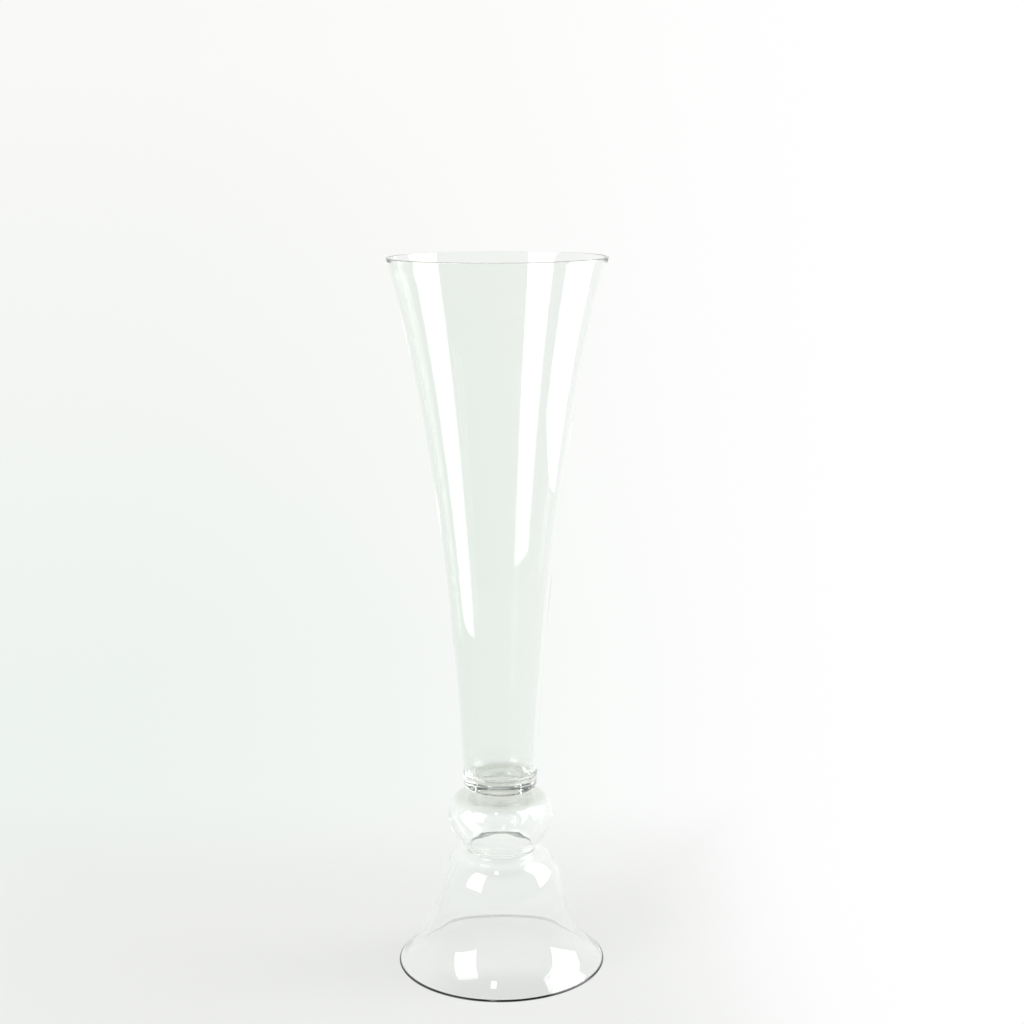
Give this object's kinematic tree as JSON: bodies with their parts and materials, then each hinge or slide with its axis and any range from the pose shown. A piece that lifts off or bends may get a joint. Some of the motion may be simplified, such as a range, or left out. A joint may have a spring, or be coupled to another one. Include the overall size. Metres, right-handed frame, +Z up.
{
  "type": "reversible trumpet vase",
  "caption": "Tall clear glass vase: a flaring trumpet fused to a hollow knop that opens into a bell foot; it stands on the bell or, turned over, on its mouth.",
  "frame": {"origin": "on the axis, in the plane of the bell's rim that the vase stands on", "axes": "+Z up along the vase's axis, from the bell foot to the trumpet's mouth"},
  "size_m": [0.2089, 0.209, 0.7],
  "materials": {
    "clear_glass": "clear, fire-polished"
  },
  "bodies": {
    "root": {"trumpet_bowl": "clear_glass", "weld_disc": "clear_glass", "hollow_knop": "clear_glass", "bell_foot": "clear_glass"}
  },
  "joints": []
}
